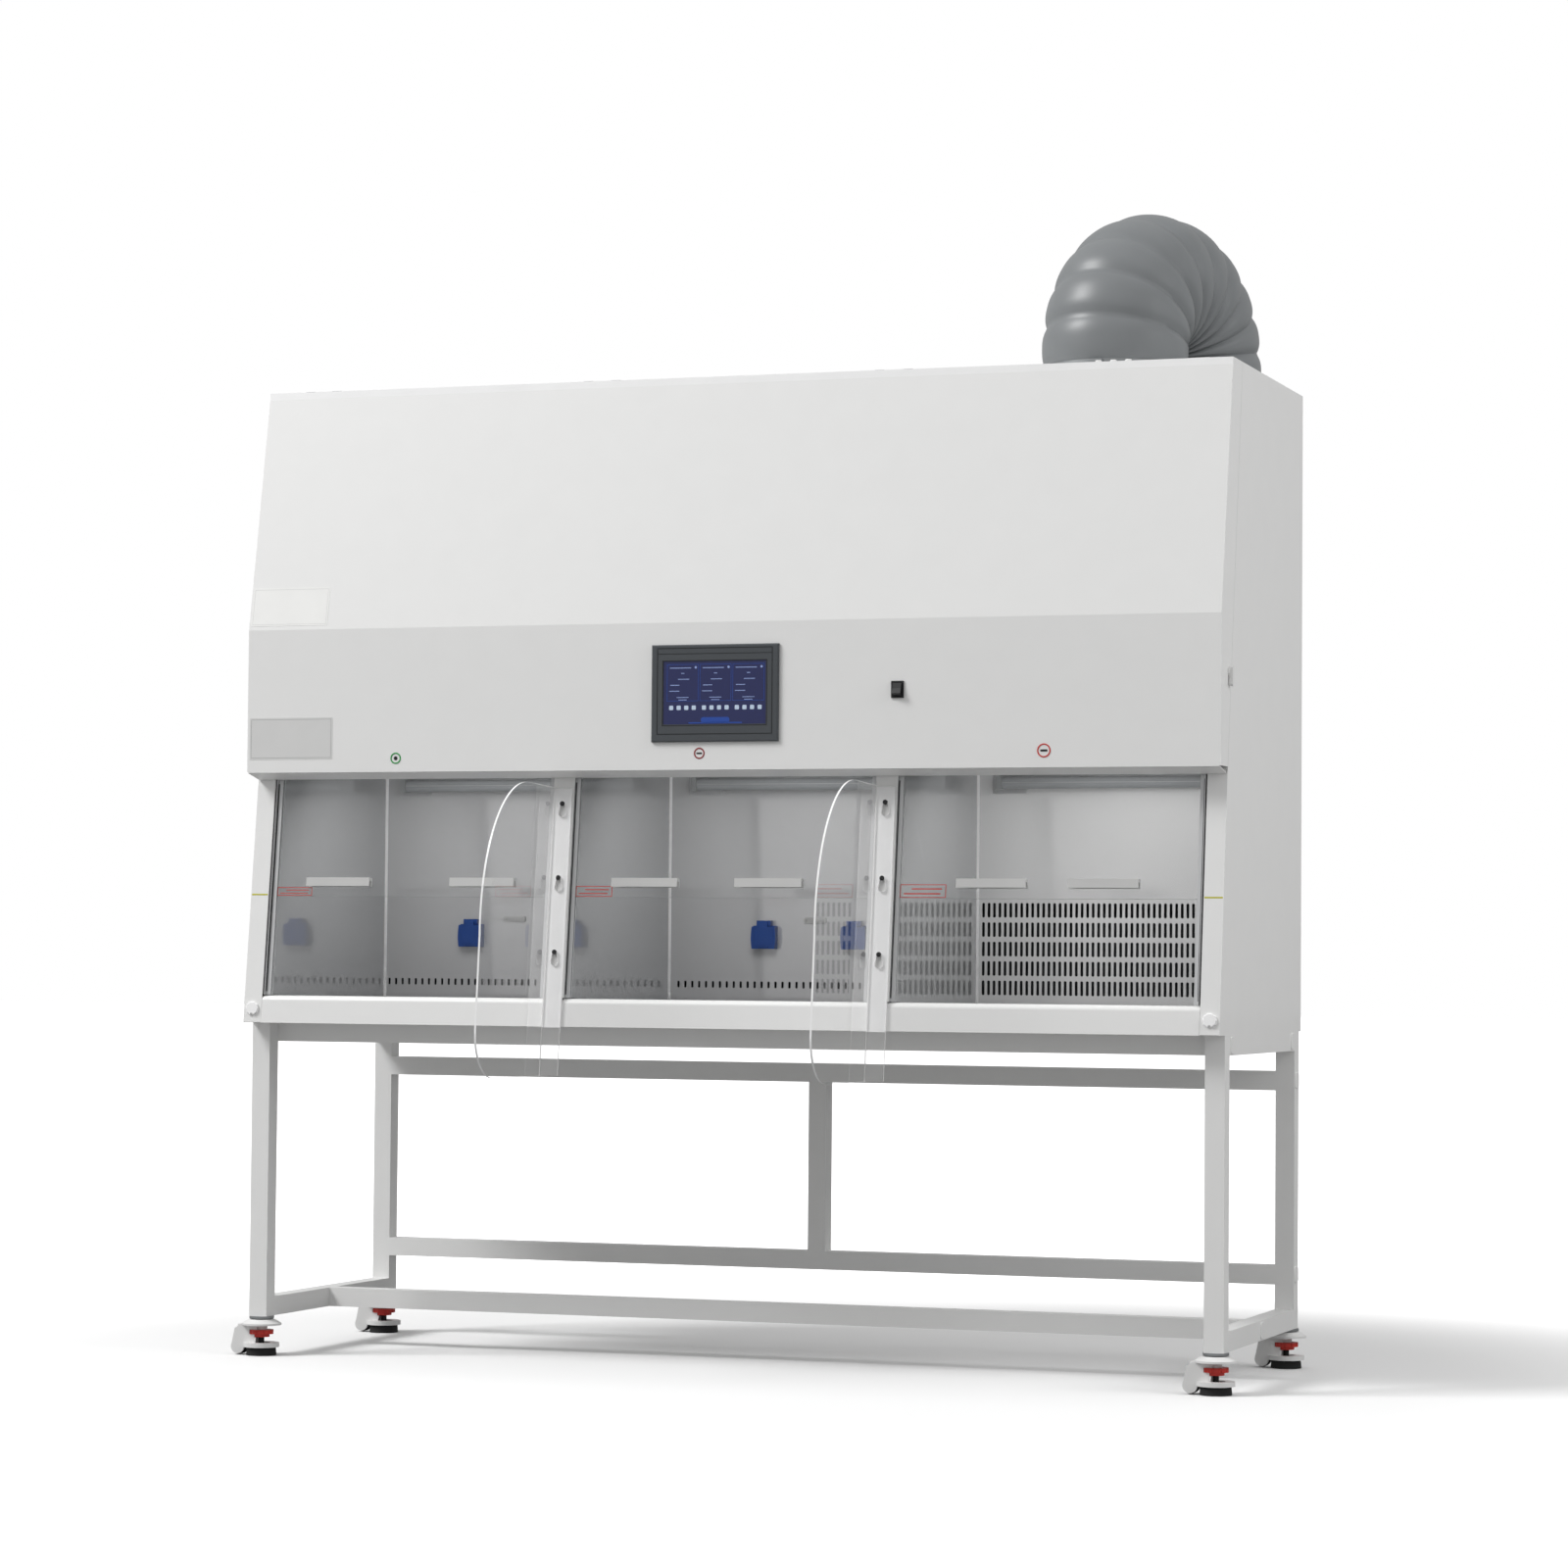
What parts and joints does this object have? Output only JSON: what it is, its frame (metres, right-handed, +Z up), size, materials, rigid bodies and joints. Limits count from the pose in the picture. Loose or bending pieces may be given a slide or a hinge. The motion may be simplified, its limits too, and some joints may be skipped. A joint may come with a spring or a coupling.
{
  "type": "pcr workstation",
  "caption": "Wide bench workstation on a wheeled tube stand: separate lit chambers with sliding glass sashes, clear divider plates, lift-up front cover and a folded exhaust duct.",
  "frame": {"origin": "middle of the bounding box on the floor under the foot pads", "axes": "+X to the right as seen from the front, +Y from the front to the back, +Z up"},
  "size_m": [2.1665, 1.1192, 2.3919],
  "materials": {
    "white_enamel": "satin white enamel",
    "stainless": "polished stainless sheet",
    "zinc_steel": "zinc plated",
    "white_strip": "white enamel",
    "white_plastic": "white",
    "black_plastic": "black",
    "blue_plastic": "blue",
    "filter_paper": "pleated paper",
    "duct_grey": "satin grey",
    "grey_plastic": "dark grey",
    "screen": "dark display glass",
    "sash_glass": "clear",
    "handle_grey": "grey",
    "aluminium_wheel": "pressed",
    "clear_plate": "clear acrylic",
    "caster_white": "white",
    "red_plastic": "red",
    "rubber": "black"
  },
  "bodies": {
    "cabinet": {"stand_legs": "white_enamel", "stand_rails": "white_enamel", "caster_seats": "zinc_steel", "side_panels": "white_enamel", "base_pan": "white_enamel", "back_panel": "white_enamel", "top_panel": "white_enamel", "armrest_rail": "white_enamel", "opening_frame": "white_enamel", "hinge_leaves": "zinc_steel", "worktops": "stainless", "chamber_liners": "stainless", "grille_back_wall": "stainless", "air_diffusers": "stainless", "sash_guides": "black_plastic", "divider_mounts": "white_strip", "socket_bases": "blue_plastic", "lamps": "white_plastic", "filter_packs": "filter_paper", "fan_decks": "zinc_steel", "exhaust_collar": "zinc_steel", "exhaust_duct": "duct_grey"},
    "cover": {"front_cover": "white_enamel", "screen_bezel": "grey_plastic", "screen_glass": "screen", "switch_frame": "black_plastic"},
    "rocker": {"switch_rocker": "black_plastic"},
    "latch_left": {"side_latch_left": "black_plastic"},
    "latch_right": {"side_latch_right": "black_plastic"},
    "sash_left": {"sash_glass_left": "sash_glass", "sash_handles_left": "handle_grey"},
    "fan_left": {"fan_impeller_left": "aluminium_wheel"},
    "sash_middle": {"sash_glass_middle": "sash_glass", "sash_handles_middle": "handle_grey"},
    "fan_middle": {"fan_impeller_middle": "aluminium_wheel"},
    "sash_right": {"sash_glass_right": "sash_glass", "sash_handles_right": "handle_grey"},
    "fan_right": {"fan_impeller_right": "aluminium_wheel"},
    "divider_left": {"divider_plate_left": "clear_plate"},
    "divider_right": {"divider_plate_right": "clear_plate"},
    "lid_left_a": {"socket_lid_left_a": "blue_plastic"},
    "lid_left_b": {"socket_lid_left_b": "blue_plastic"},
    "lid_middle_a": {"socket_lid_middle_a": "blue_plastic"},
    "lid_middle_b": {"socket_lid_middle_b": "blue_plastic"},
    "caster_front_left": {"caster_housing_front_left": "caster_white"},
    "wheel_front_left": {"caster_wheel_front_left": "black_plastic"},
    "dial_front_left": {"levelling_dial_front_left": "red_plastic"},
    "pad_front_left": {"foot_pad_front_left": "rubber"},
    "caster_front_right": {"caster_housing_front_right": "caster_white"},
    "wheel_front_right": {"caster_wheel_front_right": "black_plastic"},
    "dial_front_right": {"levelling_dial_front_right": "red_plastic"},
    "pad_front_right": {"foot_pad_front_right": "rubber"},
    "caster_rear_left": {"caster_housing_rear_left": "caster_white"},
    "wheel_rear_left": {"caster_wheel_rear_left": "black_plastic"},
    "dial_rear_left": {"levelling_dial_rear_left": "red_plastic"},
    "pad_rear_left": {"foot_pad_rear_left": "rubber"},
    "caster_rear_right": {"caster_housing_rear_right": "caster_white"},
    "wheel_rear_right": {"caster_wheel_rear_right": "black_plastic"},
    "dial_rear_right": {"levelling_dial_rear_right": "red_plastic"},
    "pad_rear_right": {"foot_pad_rear_right": "rubber"}
  },
  "joints": [
    {"name": "cover_hinge", "type": "hinge", "parent": "cabinet", "child": "cover", "pos_m": [0.01175, -0.03461, 2.0445], "axis": [-1, 0, 0], "range_deg": [0, 80]},
    {"name": "rocker_pivot", "type": "hinge", "parent": "cover", "child": "rocker", "pos_m": [0.39975, -0.20261, 1.3825], "axis": [1, 0, 0], "range_deg": [0, 14]},
    {"name": "latch_turn_left", "type": "hinge", "parent": "cover", "child": "latch_left", "pos_m": [-1.03855, -0.14061, 1.414], "axis": [1, 0, 0], "range_deg": [0, 90]},
    {"name": "latch_turn_right", "type": "hinge", "parent": "cover", "child": "latch_right", "pos_m": [1.06205, -0.14061, 1.414], "axis": [1, 0, 0], "range_deg": [0, 90]},
    {"name": "sash_slide_left", "type": "slide", "parent": "cabinet", "child": "sash_left", "axis": [0, 0.1121, 0.9937], "range_m": [-0.207, 0.205]},
    {"name": "fan_spin_left", "type": "hinge", "parent": "cabinet", "child": "fan_left", "pos_m": [-0.67725, 0.18139, 1.65], "axis": [0, 0, 1], "continuous": true},
    {"name": "sash_slide_middle", "type": "slide", "parent": "cabinet", "child": "sash_middle", "axis": [0, 0.1121, 0.9937], "range_m": [-0.207, 0.205]},
    {"name": "fan_spin_middle", "type": "hinge", "parent": "cabinet", "child": "fan_middle", "pos_m": [0.01175, 0.18139, 1.65], "axis": [0, 0, 1], "continuous": true},
    {"name": "sash_slide_right", "type": "slide", "parent": "cabinet", "child": "sash_right", "axis": [0, 0.1121, 0.9937], "range_m": [-0.207, 0.205]},
    {"name": "fan_spin_right", "type": "hinge", "parent": "cabinet", "child": "fan_right", "pos_m": [0.70075, 0.18139, 1.65], "axis": [0, 0, 1], "continuous": true},
    {"name": "divider_lift_left", "type": "slide", "parent": "cabinet", "child": "divider_left", "axis": [0, 0.1121, 0.9937], "range_m": [0, 0.0195]},
    {"name": "divider_lift_right", "type": "slide", "parent": "cabinet", "child": "divider_right", "axis": [0, 0.1121, 0.9937], "range_m": [0, 0.0195]},
    {"name": "lid_hinge_left_a", "type": "hinge", "parent": "cabinet", "child": "lid_left_a", "pos_m": [-0.77925, 0.39039, 0.92], "axis": [-1, 0, 0], "range_deg": [0, 100], "stiffness_Nm_per_rad": 0.012, "springref_deg": -28.65},
    {"name": "lid_hinge_left_b", "type": "hinge", "parent": "cabinet", "child": "lid_left_b", "pos_m": [-0.57525, 0.39039, 0.92], "axis": [-1, 0, 0], "range_deg": [0, 100], "stiffness_Nm_per_rad": 0.012, "springref_deg": -28.65},
    {"name": "lid_hinge_middle_a", "type": "hinge", "parent": "cabinet", "child": "lid_middle_a", "pos_m": [-0.09025, 0.39039, 0.92], "axis": [-1, 0, 0], "range_deg": [0, 100], "stiffness_Nm_per_rad": 0.012, "springref_deg": -28.65},
    {"name": "lid_hinge_middle_b", "type": "hinge", "parent": "cabinet", "child": "lid_middle_b", "pos_m": [0.11375, 0.39039, 0.92], "axis": [-1, 0, 0], "range_deg": [0, 100], "stiffness_Nm_per_rad": 0.012, "springref_deg": -28.65},
    {"name": "caster_swivel_front_left", "type": "hinge", "parent": "cabinet", "child": "caster_front_left", "pos_m": [-1.01825, -0.14061, 0.075], "axis": [0, 0, 1], "continuous": true},
    {"name": "wheel_spin_front_left", "type": "hinge", "parent": "caster_front_left", "child": "wheel_front_left", "pos_m": [-1.06675, -0.14061, 0.0175], "axis": [0, 1, 0], "continuous": true},
    {"name": "dial_turn_front_left", "type": "hinge", "parent": "caster_front_left", "child": "dial_front_left", "pos_m": [-1.01825, -0.14061, 0.045], "axis": [0, 0, 1], "range_deg": [-460, 730]},
    {"name": "pad_screw_front_left", "type": "slide", "parent": "caster_front_left", "child": "pad_front_left", "axis": [0, 0, -1], "range_m": [-0.005, 0.008]},
    {"name": "caster_swivel_front_right", "type": "hinge", "parent": "cabinet", "child": "caster_front_right", "pos_m": [1.04175, -0.14061, 0.075], "axis": [0, 0, 1], "continuous": true},
    {"name": "wheel_spin_front_right", "type": "hinge", "parent": "caster_front_right", "child": "wheel_front_right", "pos_m": [0.99325, -0.14061, 0.0175], "axis": [0, 1, 0], "continuous": true},
    {"name": "dial_turn_front_right", "type": "hinge", "parent": "caster_front_right", "child": "dial_front_right", "pos_m": [1.04175, -0.14061, 0.045], "axis": [0, 0, 1], "range_deg": [-460, 730]},
    {"name": "pad_screw_front_right", "type": "slide", "parent": "caster_front_right", "child": "pad_front_right", "axis": [0, 0, -1], "range_m": [-0.005, 0.008]},
    {"name": "caster_swivel_rear_left", "type": "hinge", "parent": "cabinet", "child": "caster_rear_left", "pos_m": [-1.01825, 0.47739, 0.075], "axis": [0, 0, 1], "continuous": true},
    {"name": "wheel_spin_rear_left", "type": "hinge", "parent": "caster_rear_left", "child": "wheel_rear_left", "pos_m": [-1.06675, 0.47739, 0.0175], "axis": [0, 1, 0], "continuous": true},
    {"name": "dial_turn_rear_left", "type": "hinge", "parent": "caster_rear_left", "child": "dial_rear_left", "pos_m": [-1.01825, 0.47739, 0.045], "axis": [0, 0, 1], "range_deg": [-460, 730]},
    {"name": "pad_screw_rear_left", "type": "slide", "parent": "caster_rear_left", "child": "pad_rear_left", "axis": [0, 0, -1], "range_m": [-0.005, 0.008]},
    {"name": "caster_swivel_rear_right", "type": "hinge", "parent": "cabinet", "child": "caster_rear_right", "pos_m": [1.04175, 0.47739, 0.075], "axis": [0, 0, 1], "continuous": true},
    {"name": "wheel_spin_rear_right", "type": "hinge", "parent": "caster_rear_right", "child": "wheel_rear_right", "pos_m": [0.99325, 0.47739, 0.0175], "axis": [0, 1, 0], "continuous": true},
    {"name": "dial_turn_rear_right", "type": "hinge", "parent": "caster_rear_right", "child": "dial_rear_right", "pos_m": [1.04175, 0.47739, 0.045], "axis": [0, 0, 1], "range_deg": [-460, 730]},
    {"name": "pad_screw_rear_right", "type": "slide", "parent": "caster_rear_right", "child": "pad_rear_right", "axis": [0, 0, -1], "range_m": [-0.005, 0.008]}
  ],
  "couplings": [
    {"joint": "dial_turn_front_left", "follows": "pad_screw_front_left", "rad_per_m": 1570.8},
    {"joint": "dial_turn_front_right", "follows": "pad_screw_front_right", "rad_per_m": 1570.8},
    {"joint": "dial_turn_rear_left", "follows": "pad_screw_rear_left", "rad_per_m": 1570.8},
    {"joint": "dial_turn_rear_right", "follows": "pad_screw_rear_right", "rad_per_m": 1570.8}
  ]
}
